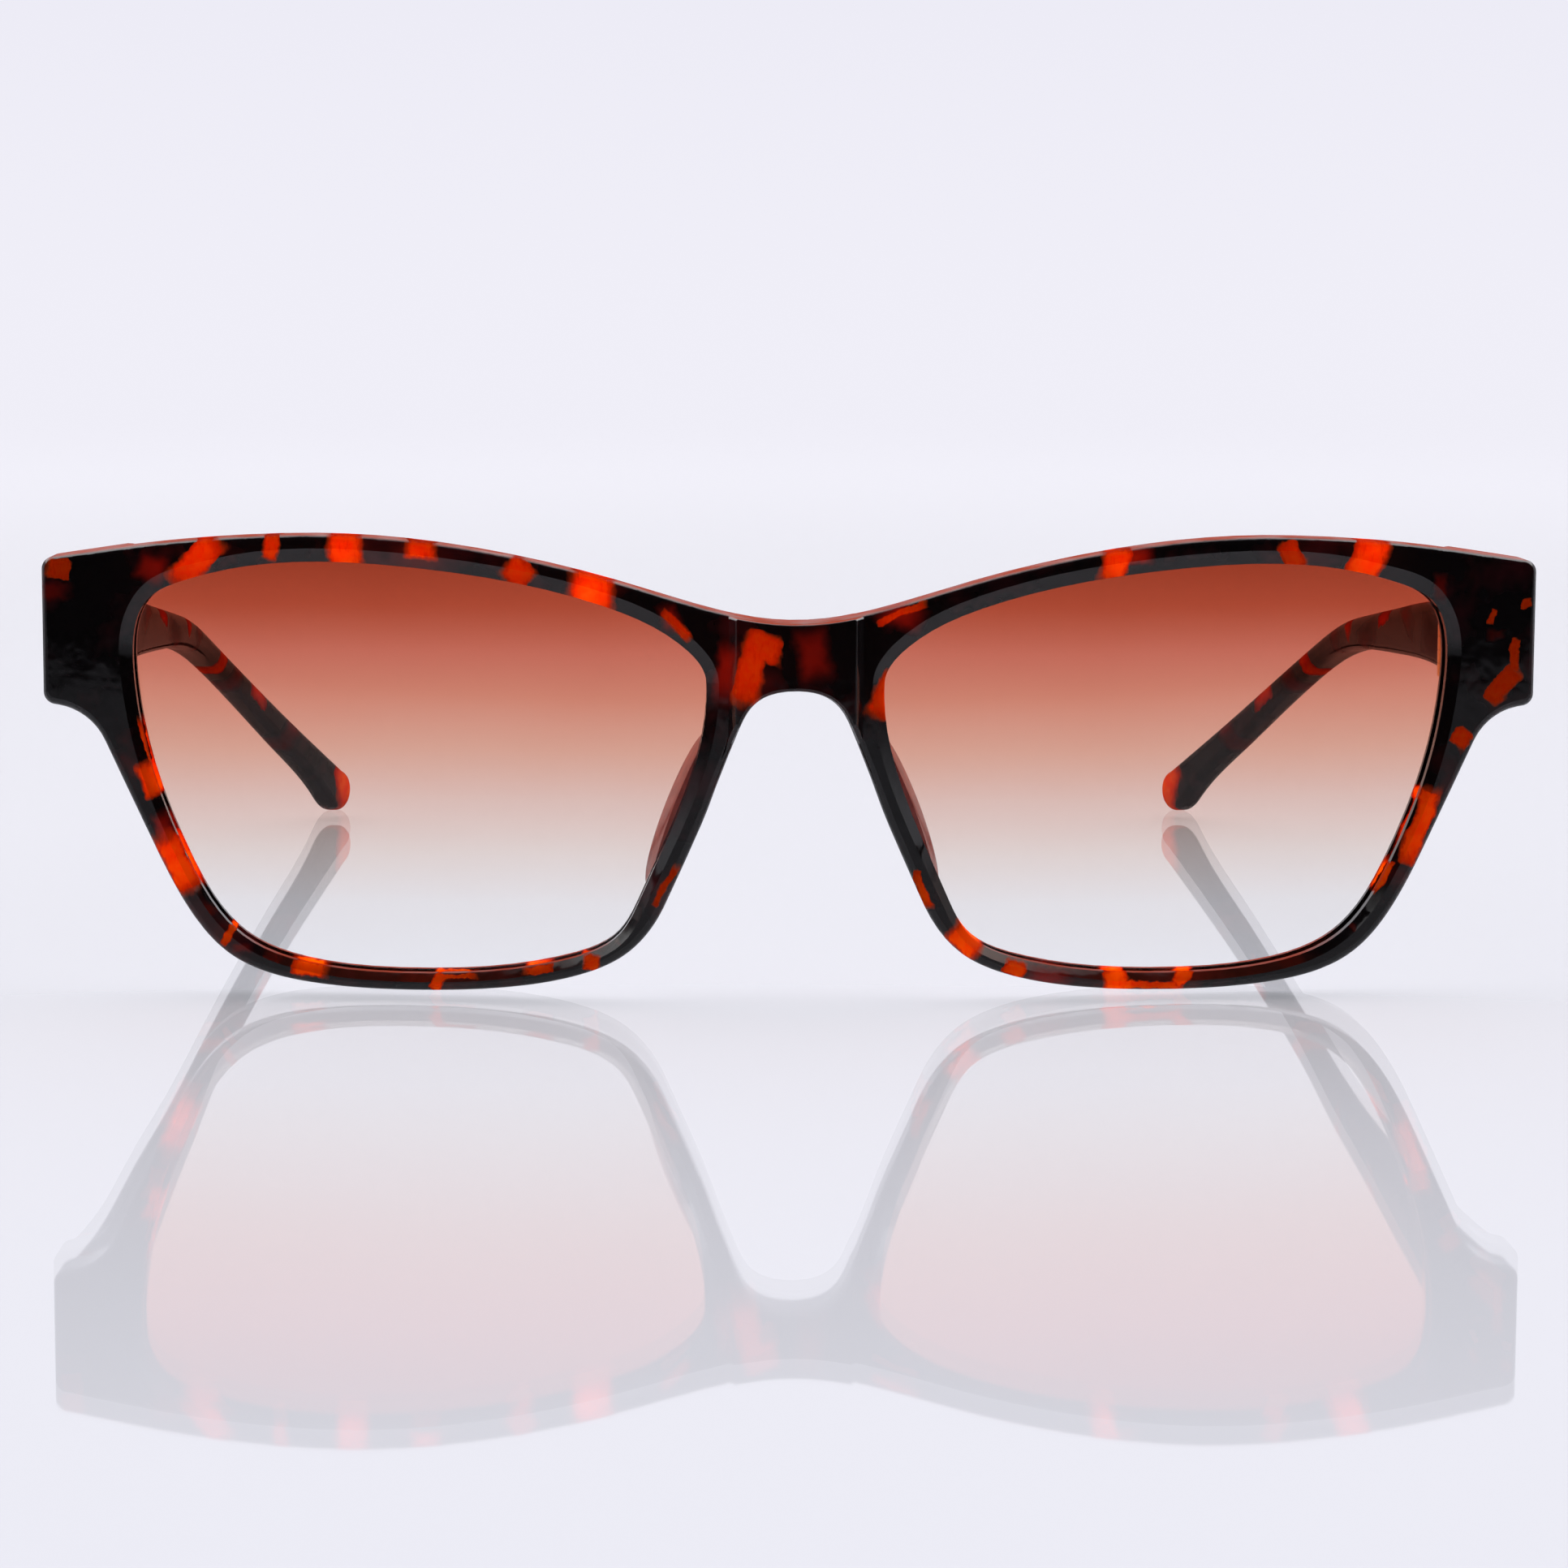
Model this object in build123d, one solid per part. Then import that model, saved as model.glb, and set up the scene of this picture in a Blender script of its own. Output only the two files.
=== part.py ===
from build123d import *
import os

# Cat eye sunglasses, in millimetres. +X is towards the wearer's left, -Y is the way the wearer
# looks, +Z is up. The glasses stand on the rims' lowest points and the temple tips.
# Everything is drawn with Y = 0 at the front of the bridge, and moved to the shared origin
# (the middle of the footprint, on the standing surface) when it is written.

# ---- driving dimensions -------------------------------------------------------------------
HALF_WIDTH = 71.2        # from the middle of the bridge to the side of an end-piece
WRAP_RADIUS = 300.0      # the front is bowed round this radius, seen from above
RIM_DEPTH = 4.2          # thickness of the rims, front to back
BRIDGE_DEPTH = 5.2       # thickness behind the bridge, which is reinforced
BRIDGE_BULGE = 1.0       # how far the faceted bridge stands proud of the rims
BRIDGE_FACET = 5.6       # half width of the bridge's flat facet
BRIDGE_CREASE = 6.3      # half width where the facet's steep sides meet the rims
JOINT_DEPTH = 13.6       # the end-pieces' rear faces, where the temples butt
END_PIECE_INSIDE = 63.6  # inner side of the thick block behind each end-piece
CORNER_ROUND = 1.2       # corners of an end-piece, seen from the front
ELBOW_ROUND = 5.8        # where an end-piece's lower side turns down into the rim
EDGE_ROUND = 0.7         # polished edge of the front
BRIDGE_ROUND = 0.3       # softer edge and creases of the bridge's facet
BRIDGE_INSET = 0.12      # the facet lies this far inside the front's outline

BEVEL_TOP = 1.3          # width of the sloping facet round each lens opening, under the brow
BEVEL_BOTTOM = 0.7       # and at the bottom of the rim
BEVEL_DEPTH = 0.9
LENS_THICKNESS = 1.6
LENS_SETBACK = 1.9       # front of the lens, behind the front face of the rim
GROOVE_DEPTH = 0.8       # how far the lens reaches into its groove
GROOVE_CLEARANCE = 0.05
STATIONS = 36            # places round a lens opening where other edges are set out from it

TEMPLE_REACH = 138.0     # depth of the temple tips behind the front of the bridge
TEMPLE_START = 13.65     # the temple's front end, a hair behind the end-piece
TEMPLE_INSIDE = 66.7     # inner and outer faces of the left temple at its front end
TEMPLE_OUTSIDE = 71.0
TEMPLE_TAPER = 0.0255    # the outer face comes in by this much for each millimetre of depth
TEMPLE_EDGE_ROUND = 1.0
CORE_WIRE = 1.3          # square core wire

HINGE_X = 64.5           # hinge axis
HINGE_Y = 15.25
HINGE_Z = 32.0
BARREL_RADIUS = 1.4
KNUCKLES = 5             # three on the front, two on the temple, in turn
KNUCKLE_HEIGHT = 1.3
KNUCKLE_GAP = 0.06
SCREW_RADIUS = 0.6
SCREW_CLEARANCE = 0.03
SCREW_HEAD_RADIUS = 1.15
SCREW_HEAD_HEIGHT = 0.6
LEAF_INSIDE = 64.1       # the front leaf reaches from here to here
LEAF_OUTSIDE = 69.4
FRONT_LEAF_HALF = 3.4    # half heights of the leaves
TEMPLE_LEAF_HALF = 3.0
PLATE_THICKNESS = 0.9    # hinge leaf that lies flush in the acetate
ANCHOR_RADIUS = 0.65     # pins behind the leaf that hold it in the acetate
FRONT_ANCHOR_LENGTH = 3.4
FRONT_ANCHOR_X = 67.6
FRONT_ANCHOR_OFFSET = 2.0    # above and below the hinge's middle
TEMPLE_ANCHOR_LENGTH = 1.6
TEMPLE_ANCHORS = (3.2, 6.8)  # distances behind the hinge axis
SUNK_FIT = 0.02          # gap round metal that is sunk into the acetate

TRIM_START = 17.0        # gold-tone bar on the temple's outer side
TRIM_END = 41.0
TRIM_HEIGHT = 33.6       # of its centre line at the front end, which runs down with the temple
TRIM_FALL = 2.5
TRIM_PROUD = 0.35
TRIM_SUNK = 0.8
STUD_COUNT = 6
STUD_RADIUS_FIRST = 1.55
STUD_RADIUS_LAST = 0.9
STUD_SHANK_RADIUS = 0.4
STUD_SHANK_LENGTH = 0.7
FIRST_STUD = 2.6         # centre of the first stud, behind the bar's front end
LAST_STUD = 1.8          # centre of the last one, before its rear end

ORIGIN_DEPTH = 68.5      # depth of the shared origin behind the front of the bridge
TALL = 70.0              # longer than the front is tall or deep, for prisms that cut through it
MARGIN = 10.0            # how far such a prism starts outside it


def wrap_depth(x, radius=WRAP_RADIUS):
    """Depth of the bowed front face at a distance x from the middle."""
    return radius - (radius**2 - x**2) ** 0.5


def upright(plan_face):
    """A plan-view face made into a prism that reaches below and above the glasses."""
    return extrude(Pos(0, 0, -MARGIN) * plan_face, amount=TALL, dir=(0, 0, 1))


def front_to_back(front_face):
    """A front-view face made into a prism through the whole front."""
    return extrude(Pos(0, -MARGIN, 0) * front_face, amount=TALL, dir=(0, 1, 0))


def across(side_face):
    """A side-view face made into a prism that reaches past the left temple on both sides."""
    return extrude(Pos(MARGIN, 0, 0) * side_face, amount=HALF_WIDTH + MARGIN, dir=(1, 0, 0))


def mirrored(solid):
    """The right-hand copy of a left-hand piece."""
    return mirror(solid, about=Plane.YZ)


def block_between(low, high):
    """A box given by its lowest and highest corners."""
    size = [far - near for near, far in zip(low, high)]
    return Pos(*low) * Box(*size, align=(Align.MIN, Align.MIN, Align.MIN))


# ---- the front ----------------------------------------------------------------------------
ELBOW_X = 66.6               # where an end-piece's lower side meets the rim's
BROW_MIDDLE = (0, 35.1)      # lowest point of the brow line
BROW_SIDE = (7.7, 36.2)      # the brow line beside the bridge
NOSE_SIDE = (5.5, 24.5)      # where the side of the nose arch meets its crown
ARCH_CROWN = (0, 28.65)


def front_outline():
    """Front view of the acetate front: brow line, end-pieces, rims and nose arch."""
    with BuildSketch(Plane.XZ) as outline:
        with BuildLine():
            Spline(
                BROW_MIDDLE, BROW_SIDE, (17, 38.9), (29, 41.6), (45, 43.0), (58, 42.25), (HALF_WIDTH, 40.4),
                tangents=[(1, 0), (1, -0.15)],
            )
            Line((HALF_WIDTH, 40.4), (HALF_WIDTH, 26.7))
            Line((HALF_WIDTH, 26.7), (ELBOW_X, 25.9))
            Line((ELBOW_X, 25.9), (61.5, 15.1))
            Spline(
                (61.5, 15.1), (58.3, 8.75), (53.5, 3.05), (45.0, 0.43), (35.5, 0.0), (26.2, 0.5), (20, 1.74),
                (15.85, 3.7), (12.85, 7.15), (11.65, 9.6), (8.4, 17.0), NOSE_SIDE,
                tangents=[(-0.43, -0.9), (-0.38, 0.92)],
            )
            Spline(NOSE_SIDE, (4.2, 27.0), ARCH_CROWN, tangents=[(-0.38, 0.92), (-1, 0)])
            mirror(about=Plane.YZ)
        make_face()
        fillet([v for v in outline.vertices() if abs(abs(v.X) - HALF_WIDTH) < 0.01], radius=CORNER_ROUND)
        fillet([v for v in outline.vertices() if abs(abs(v.X) - ELBOW_X) < 0.01], radius=ELBOW_ROUND)
    return outline.sketch


def opening_edge():
    """The left lens opening at the inner edge of its bevel, drawn with the height as Y."""
    return Spline(
        (8.35, 29.4), (8.5, 25.8), (11.3, 16.3), (14.5, 9.0), (16.55, 5.45), (21.75, 3.0), (35.8, 1.55),
        (45.0, 2.15), (52.2, 4.75), (57.9, 12.9), (62.4, 28.5), (60.7, 37.0), (57.85, 38.4), (48.3, 40.3),
        (36.0, 40.0), (17.6, 36.4), (10.6, 32.8),
        periodic=True,
    )


def round_the_opening(growth):
    """Points round the left opening, moved outwards by growth(height)."""
    outline = opening_edge()
    for step in range(STATIONS):
        place = outline @ (step / STATIONS)
        # The outline runs anticlockwise, so outwards is to the right of the way it runs.
        outward = (outline % (step / STATIONS)).rotate(Axis.Z, -90)
        yield place + growth(place.Y) * outward


def lens_opening(grow=0.0):
    """Front view of the left lens opening, or of the same grown all round."""
    outline = opening_edge()
    if grow:
        outline = Spline(*round_the_opening(lambda height: grow), periodic=True)
    return Plane.XZ * make_face(outline)


def bevel_cutter():
    """What the bevel takes off round the left opening: a funnel, wider under the brow than below."""
    overshoot = 0.3       # the funnel's slope carries on past both of its edges
    low, high = 8.0, 36.0

    def width(height):
        share = min(max((height - low) / (high - low), 0.0), 1.0)
        return BEVEL_BOTTOM + (BEVEL_TOP - BEVEL_BOTTOM) * share

    def ring(slope_share, depth):
        points = round_the_opening(lambda height: slope_share * width(height))
        return Wire([Spline(*[(point.X, depth(point.X), point.Y) for point in points], periodic=True)])

    past = overshoot / BEVEL_DEPTH
    mouth = ring(1 + past, lambda x: -MARGIN)
    rim = ring(1 + past, lambda x: wrap_depth(x) - overshoot)
    throat = ring(-past, lambda x: wrap_depth(x) + BEVEL_DEPTH + overshoot)
    tail = ring(-past, lambda x: JOINT_DEPTH)
    return Solid.make_loft([mouth, rim, throat, tail], ruled=True)


def bowed_slab(setback, thickness, half_width=HALF_WIDTH + 2):
    """Plan view of an even layer that follows the wrap, as a tall prism."""
    centre = (0, WRAP_RADIUS)
    near = WRAP_RADIUS - setback
    far = near - thickness

    def on_arc(radius, x):
        return (x, centre[1] - (radius**2 - x**2) ** 0.5)

    with BuildSketch() as plan:
        with BuildLine():
            ThreePointArc(on_arc(near, -half_width), on_arc(near, 0), on_arc(near, half_width))
            ThreePointArc(on_arc(far, -half_width), on_arc(far, 0), on_arc(far, half_width))
            Line(on_arc(near, -half_width), on_arc(far, -half_width))
            Line(on_arc(near, half_width), on_arc(far, half_width))
        make_face()
    return upright(plan.sketch)


def on_layer(edge, setback):
    """True where an edge runs on the bowed layer at this depth behind the front face."""
    radius = WRAP_RADIUS - setback
    return all(
        abs(point.Y - setback - wrap_depth(point.X, radius)) < 0.01
        for point in (edge @ 0.1, edge @ 0.5, edge @ 0.9)
    )


def bridge_block():
    """The thick bridge: a flat facet in front with steep sides, and a ramped back."""
    with BuildSketch() as plan:
        with BuildLine():
            Polyline(
                (0, -BRIDGE_BULGE), (BRIDGE_FACET, -BRIDGE_BULGE), (BRIDGE_CREASE, wrap_depth(BRIDGE_CREASE)),
                (BRIDGE_CREASE, RIM_DEPTH), (BRIDGE_FACET, BRIDGE_DEPTH), (0, BRIDGE_DEPTH),
            )
            mirror(about=Plane.YZ)
        make_face()
    inset = BRIDGE_INSET
    top_middle = (0, BROW_MIDDLE[1] - inset)
    top_side = (BROW_SIDE[0], BROW_SIDE[1] - inset)
    low_corner = (BROW_SIDE[0], 19.8)
    nose_side = (NOSE_SIDE[0] + inset, NOSE_SIDE[1])
    crown = (0, ARCH_CROWN[1] + inset)
    with BuildSketch(Plane.XZ) as outline:
        with BuildLine():
            Spline(top_middle, top_side, tangents=[(1, 0), (1, 0.25)])
            Polyline(top_side, low_corner, nose_side)
            Spline(nose_side, (4.3, 27.0 + inset), crown, tangents=[(-0.38, 0.92), (-1, 0)])
            mirror(about=Plane.YZ)
        make_face()
    block = front_to_back(outline.sketch) & upright(plan.sketch)
    proud = block.edges().filter_by(lambda e: (e @ 0.5).Y < 0 and min((e @ 0).Y, (e @ 1).Y) < -0.5)
    return fillet(proud, radius=BRIDGE_ROUND)


def end_piece_block():
    """The thick block behind the left end-piece, which the temple butts against."""
    ramp = 0.9
    with BuildSketch() as plan:
        with BuildLine():
            near = wrap_depth(END_PIECE_INSIDE) + RIM_DEPTH / 2
            Polyline(
                (END_PIECE_INSIDE - ramp, near), (HALF_WIDTH + 1, near), (HALF_WIDTH + 1, JOINT_DEPTH),
                (END_PIECE_INSIDE, JOINT_DEPTH), (END_PIECE_INSIDE - ramp, JOINT_DEPTH - 2.6), close=True,
            )
        make_face()
    with BuildSketch(Plane.XZ) as reach:
        with Locations((END_PIECE_INSIDE - 3, 25.3)):
            Rectangle(15, 20, align=(Align.MIN, Align.MIN))
    return front_to_back(front_outline()) & upright(plan.sketch) & front_to_back(reach.sketch)


def rims():
    """Both rims and the end-pieces' faces, rounded outside and bevelled round each lens opening."""
    body = front_to_back(front_outline()) & bowed_slab(0, RIM_DEPTH)
    outside = body.edges().filter_by(lambda e: on_layer(e, 0) or on_layer(e, RIM_DEPTH))
    body = fillet(outside, radius=EDGE_ROUND)
    for cutter in (front_to_back(lens_opening()), bevel_cutter()):
        body = body - cutter - mirrored(cutter)
    return body


def lens(clearance=0.0):
    """The left lens with the edge that sits in its groove, or the groove itself."""
    blank = front_to_back(lens_opening(grow=GROOVE_DEPTH + clearance))
    return blank & bowed_slab(LENS_SETBACK - clearance, LENS_THICKNESS + 2 * clearance)


def front_frame():
    """The acetate front, with lens grooves and a seat for each sunk hinge half."""
    end_piece = end_piece_block()
    body = rims() + bridge_block() + end_piece + mirrored(end_piece)
    for cutter in (lens(GROOVE_CLEARANCE), front_leaf(SUNK_FIT)):
        body = body - cutter - mirrored(cutter)
    return body


# ---- nose pads ----------------------------------------------------------------------------
def nose_pad():
    """The left nose pad, a soft-edged crescent bonded behind the inner rim and flared backwards."""
    lean = 21.0           # the pad follows the slanting inner rim
    glue_line = 0.03
    sections = [
        # depth behind the rim, distance from the middle, height of the centre, half width, half height
        (-0.2, 10.05, 17.0, 1.2, 9.0),
        (1.6, 10.4, 16.9, 1.35, 8.9),
        (3.2, 10.75, 16.7, 1.35, 8.4),
        (4.4, 11.15, 16.6, 1.1, 7.6),
        (5.1, 11.4, 16.5, 0.5, 6.6),
    ]
    faces = []
    for depth, x, z, half_width, half_height in sections:
        plane = Plane(origin=(x, RIM_DEPTH + depth, z), x_dir=(1, 0, 0), z_dir=(0, -1, 0))
        faces.append(plane * Rot(0, 0, lean) * Ellipse(half_width, half_height).face())
    bridge_side = block_between((0, 0, 0), (BRIDGE_CREASE + glue_line, BRIDGE_DEPTH + glue_line, TALL))
    return loft(faces) - bowed_slab(0, RIM_DEPTH + glue_line) - bridge_side


# ---- temples ------------------------------------------------------------------------------
def temple_side():
    """Side view of a temple: tall at the joint, slender at the ear bend, fuller at the tip."""
    with BuildSketch(Plane.YZ) as side:
        with BuildLine():
            Spline(
                (TEMPLE_START, 40.2), (20, 38.4), (29.5, 35.6), (42, 33.9), (58, 31.9), (75, 29.7),
                (86, 27.9), (97, 24.8), (110, 19.4), (124, 12.0), (136.3, 4.9),
                tangents=[(1, -0.12), (0.86, -0.51)],
            )
            ThreePointArc((136.3, 4.9), (TEMPLE_REACH, 2.0), (135.3, 0.0))
            Spline(
                (135.3, 0.0), (131.5, 2.2), (122, 8.9), (113, 14.3), (104, 18.9), (95, 22.4), (83.6, 25.0),
                (66, 26.6), (52, 27.4), (36, 27.9), (24, 27.6), (TEMPLE_START, 26.9),
                tangents=[(-1, 0.1), (-1, -0.1)],
            )
            Line((TEMPLE_START, 26.9), (TEMPLE_START, 40.2))
        make_face()
    return side.sketch


def temple_plan():
    """Plan view of the left temple: straight to the ear bend, then curving in towards the head."""
    inner = [
        (TEMPLE_INSIDE, TEMPLE_START), (66.0, 45), (65.2, 80), (63.8, 98), (60.4, 113), (55.9, 126),
        (50.2, 140),
    ]
    outer = [
        (53.0, 140), (58.8, 126), (63.4, 113), (67.0, 98), (69.0, 80), (70.2, 45),
        (TEMPLE_OUTSIDE, TEMPLE_START),
    ]
    with BuildSketch() as plan:
        with BuildLine():
            Spline(*inner)
            Line(inner[-1], outer[0])
            Spline(*outer)
            Line(outer[-1], inner[0])
        make_face()
    return plan.sketch


def temple_blank():
    """The left temple before anything is let into it."""
    blank = across(temple_side()) & upright(temple_plan())
    long_edges = blank.edges().filter_by(lambda e: e.length > 30)
    return fillet(long_edges, radius=TEMPLE_EDGE_ROUND)


def temple():
    """The left temple with room for its core wire, hinge half and trim."""
    return temple_blank() - temple_core(SUNK_FIT) - temple_leaf(SUNK_FIT) - temple_trim_bar(SUNK_FIT)


def temple_core(clearance=0.0):
    """The wire that stiffens the left temple, from behind the hinge into the ear piece."""
    width = CORE_WIRE + 2 * clearance
    with BuildSketch(Plane.YZ) as side:
        with BuildLine():
            Spline(
                (27, 31.6), (42, 30.8), (58, 29.5), (75, 28.0), (86, 26.3), (97, 23.3), (110, 17.6),
                (124, 9.8), (130, 5.9),
            )
        trace(line_width=width)
    with BuildSketch() as plan:
        with BuildLine():
            Spline((68.4, 20), (68.1, 45), (67.1, 80), (65.4, 98), (61.9, 113), (57.35, 126), (53.3, 136))
        trace(line_width=width)
    return across(side.sketch) & upright(plan.sketch)


# ---- hinges -------------------------------------------------------------------------------
def knuckle(index):
    """One barrel of the left hinge, counted from the bottom, and its height range."""
    low = HINGE_Z + (index - KNUCKLES / 2) * KNUCKLE_HEIGHT + KNUCKLE_GAP / 2
    height = KNUCKLE_HEIGHT - KNUCKLE_GAP
    barrel = Pos(HINGE_X, HINGE_Y, low) * extrude(Circle(BARREL_RADIUS), amount=height)
    return barrel, low, height


def screw_hole():
    """The bore through every barrel of the left hinge."""
    reach = KNUCKLES * KNUCKLE_HEIGHT
    hole = Circle(SCREW_RADIUS + SCREW_CLEARANCE)
    return Pos(HINGE_X, HINGE_Y, HINGE_Z - reach) * extrude(hole, amount=2 * reach)


def front_leaf(clearance=0.0):
    """The leaf in the left end-piece's rear face, with anchor pins reaching forward."""
    half_height = FRONT_LEAF_HALF + clearance
    sunk = JOINT_DEPTH - PLATE_THICKNESS
    leaf = block_between(
        (LEAF_INSIDE - clearance, sunk - clearance, HINGE_Z - half_height),
        (LEAF_OUTSIDE + clearance, JOINT_DEPTH, HINGE_Z + half_height),
    )
    for height in (-FRONT_ANCHOR_OFFSET, FRONT_ANCHOR_OFFSET):
        pin = extrude(Circle(ANCHOR_RADIUS + clearance), amount=FRONT_ANCHOR_LENGTH + clearance)
        base = Plane(origin=(FRONT_ANCHOR_X, sunk, HINGE_Z + height), z_dir=(0, -1, 0))
        leaf = leaf + base * pin
    return leaf


def hinge_front():
    """The front's half of the left hinge: sunk leaf and three barrels."""
    body = front_leaf()
    for index in range(0, KNUCKLES, 2):
        barrel, low, height = knuckle(index)
        arm = block_between(
            (LEAF_INSIDE, JOINT_DEPTH - PLATE_THICKNESS / 2, low),
            (HINGE_X + BARREL_RADIUS - 0.3, HINGE_Y, low + height),
        )
        body = body + arm + barrel
    return body - screw_hole()


def temple_leaf(clearance=0.0):
    """The leaf in the left temple's inner face, with anchor pins reaching outward."""
    inner = TEMPLE_INSIDE - 0.25
    half_height = TEMPLE_LEAF_HALF + clearance
    leaf = block_between(
        (inner - clearance, HINGE_Y + 0.6 - clearance, HINGE_Z - half_height),
        (inner + PLATE_THICKNESS + clearance, HINGE_Y + 9.2 + clearance, HINGE_Z + half_height),
    )
    for along in TEMPLE_ANCHORS:
        pin = extrude(Circle(ANCHOR_RADIUS + clearance), amount=TEMPLE_ANCHOR_LENGTH + clearance)
        base = Plane(origin=(inner + PLATE_THICKNESS, HINGE_Y + along, HINGE_Z), z_dir=(1, 0, 0))
        leaf = leaf + base * pin
    return leaf


def hinge_temple():
    """The temple's half of the left hinge: sunk leaf and two barrels."""
    body = temple_leaf()
    for index in range(1, KNUCKLES, 2):
        barrel, low, height = knuckle(index)
        arm = block_between(
            (HINGE_X, HINGE_Y - 0.4, low), (TEMPLE_INSIDE - 0.15, HINGE_Y + BARREL_RADIUS, low + height)
        )
        body = body + arm + barrel
    return body - screw_hole()


def hinge_screw():
    """The slotted screw that is the left hinge's pin, its head on the top barrel."""
    top = HINGE_Z + KNUCKLES / 2 * KNUCKLE_HEIGHT
    bottom = HINGE_Z - KNUCKLES / 2 * KNUCKLE_HEIGHT
    shank = Pos(HINGE_X, HINGE_Y, bottom) * extrude(Circle(SCREW_RADIUS), amount=top - bottom)
    head = Pos(HINGE_X, HINGE_Y, top) * extrude(Circle(SCREW_HEAD_RADIUS), amount=SCREW_HEAD_HEIGHT)
    head = fillet(head.edges().group_by(Axis.Z)[-1], radius=0.2)
    slot = Pos(HINGE_X, HINGE_Y, top + SCREW_HEAD_HEIGHT) * Box(4 * SCREW_HEAD_RADIUS, 0.35, 0.5)
    return shank + head - slot


# ---- trim ---------------------------------------------------------------------------------
def outer_face(depth):
    """Distance from the middle to the left temple's outer face at this depth."""
    return TEMPLE_OUTSIDE - TEMPLE_TAPER * (depth - TEMPLE_START)


def trim_height(depth):
    """Height of the trim's centre line at this depth."""
    along = (depth - TRIM_START) / (TRIM_END - TRIM_START)
    return TRIM_HEIGHT - TRIM_FALL * along


def trim_plane(depth):
    """A plane on the trim's outer surface at this depth, facing outwards."""
    centre = (outer_face(depth) + TRIM_PROUD, depth, trim_height(depth))
    return Plane(origin=centre, x_dir=(0, 0, 1), z_dir=(1, TEMPLE_TAPER, 0))


def temple_trim_bar(clearance=0.0):
    """The left temple's bar: a long drop shape, let into the outer face, without its stud holes."""
    start, end = TRIM_START - clearance, TRIM_END + clearance
    nose, tail = 2.3 + clearance, 1.1 + clearance
    with BuildSketch(Plane.YZ) as side:
        with BuildLine():
            first, last = trim_height(TRIM_START + 2.5), trim_height(TRIM_END - 1.2)
            Line((start + 2.5, first + nose), (end - 1.2, last + tail))
            ThreePointArc((end - 1.2, last + tail), (end, last), (end - 1.2, last - tail))
            Line((end - 1.2, last - tail), (start + 2.5, first - nose))
            ThreePointArc((start + 2.5, first - nose), (start, first), (start + 2.5, first + nose))
        make_face()
    with BuildSketch() as plan:
        sunk, proud = TRIM_SUNK + clearance, TRIM_PROUD
        with BuildLine():
            Polyline(
                (outer_face(start) - sunk, start), (outer_face(start) + proud, start),
                (outer_face(end) + proud, end), (outer_face(end) - sunk, end), close=True,
            )
        make_face()
    return across(side.sketch) & upright(plan.sketch)


def stud_places():
    """Depth and radius of each stud, from the joint backwards."""
    gaps = STUD_COUNT - 1
    for index in range(STUD_COUNT):
        along = index / gaps
        radius = STUD_RADIUS_FIRST + (STUD_RADIUS_LAST - STUD_RADIUS_FIRST) * along
        yield TRIM_START + FIRST_STUD + along * (TRIM_END - LAST_STUD - TRIM_START - FIRST_STUD), radius


def temple_trim():
    """The left temple's gold-tone bar, drilled for its studs."""
    bar = temple_trim_bar()
    for depth, _ in stud_places():
        hole = extrude(Circle(STUD_SHANK_RADIUS + SUNK_FIT), amount=-STUD_SHANK_LENGTH - SUNK_FIT)
        bar = bar - trim_plane(depth) * hole
    return bar


def trim_studs():
    """The domed studs on the left temple's bar, each with a shank in the bar."""
    studs = []
    for depth, radius in stud_places():
        rise = 0.45 * radius
        ball = (radius**2 + rise**2) / (2 * rise)
        above_bar = Pos(0, 0, (rise + SUNK_FIT) / 2) * Box(2 * radius, 2 * radius, rise)
        dome = Pos(0, 0, rise - ball) * Sphere(ball) & above_bar
        shank = extrude(Circle(STUD_SHANK_RADIUS), amount=-STUD_SHANK_LENGTH)
        neck = extrude(Circle(STUD_SHANK_RADIUS), amount=rise / 2)
        studs.append(trim_plane(depth) * (dome + shank + neck))
    return Compound(children=[stud.solid() for stud in studs])


# ---- write every piece --------------------------------------------------------------------
def write(name, shape):
    """Move a piece to the shared origin and write it."""
    placed = Pos(0, -ORIGIN_DEPTH, 0) * shape
    export_step(placed, f"parts/{name}.step")
    print(name, round(shape.volume, 2))


os.makedirs("parts", exist_ok=True)
write("front_frame", front_frame())
paired_pieces = {
    "lens": lens(),
    "nose_pad": nose_pad(),
    "hinge_front": hinge_front(),
    "hinge_screw": hinge_screw(),
    "temple": temple(),
    "temple_core": temple_core(),
    "hinge_temple": hinge_temple(),
    "temple_trim": temple_trim(),
    "trim_studs": trim_studs(),
}
for name, left_piece in paired_pieces.items():
    write(f"{name}_left", left_piece)
    write(f"{name}_right", mirrored(left_piece))
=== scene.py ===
import math

import bpy
from mathutils import Matrix, Vector


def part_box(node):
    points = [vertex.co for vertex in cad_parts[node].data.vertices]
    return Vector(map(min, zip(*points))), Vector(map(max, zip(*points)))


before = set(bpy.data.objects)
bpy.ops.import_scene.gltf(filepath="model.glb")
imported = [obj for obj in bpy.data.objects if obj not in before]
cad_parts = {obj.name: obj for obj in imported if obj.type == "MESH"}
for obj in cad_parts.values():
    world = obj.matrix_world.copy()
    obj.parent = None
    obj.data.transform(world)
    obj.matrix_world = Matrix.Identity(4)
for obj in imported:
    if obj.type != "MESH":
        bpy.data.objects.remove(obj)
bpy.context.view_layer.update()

MM = 0.001

# ---- camera -------------------------------------------------------------------------------
CAMERA_DISTANCE = 387.3 * MM     # in front of the rims, beside the bridge
BRIDGE_PROUD = 1.0 * MM          # the bridge stands this far in front of the rims
CAMERA_HEIGHT = 67.72 * MM
CAMERA_SIDE = -13.65 * MM        # towards the wearer's right
CAMERA_YAW = math.radians(1.859)
CAMERA_DOWN = math.radians(7.022)
CAMERA_ROLL = math.radians(0.255)
CAMERA_LENS = 95.70              # on a 36 mm sensor

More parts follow.
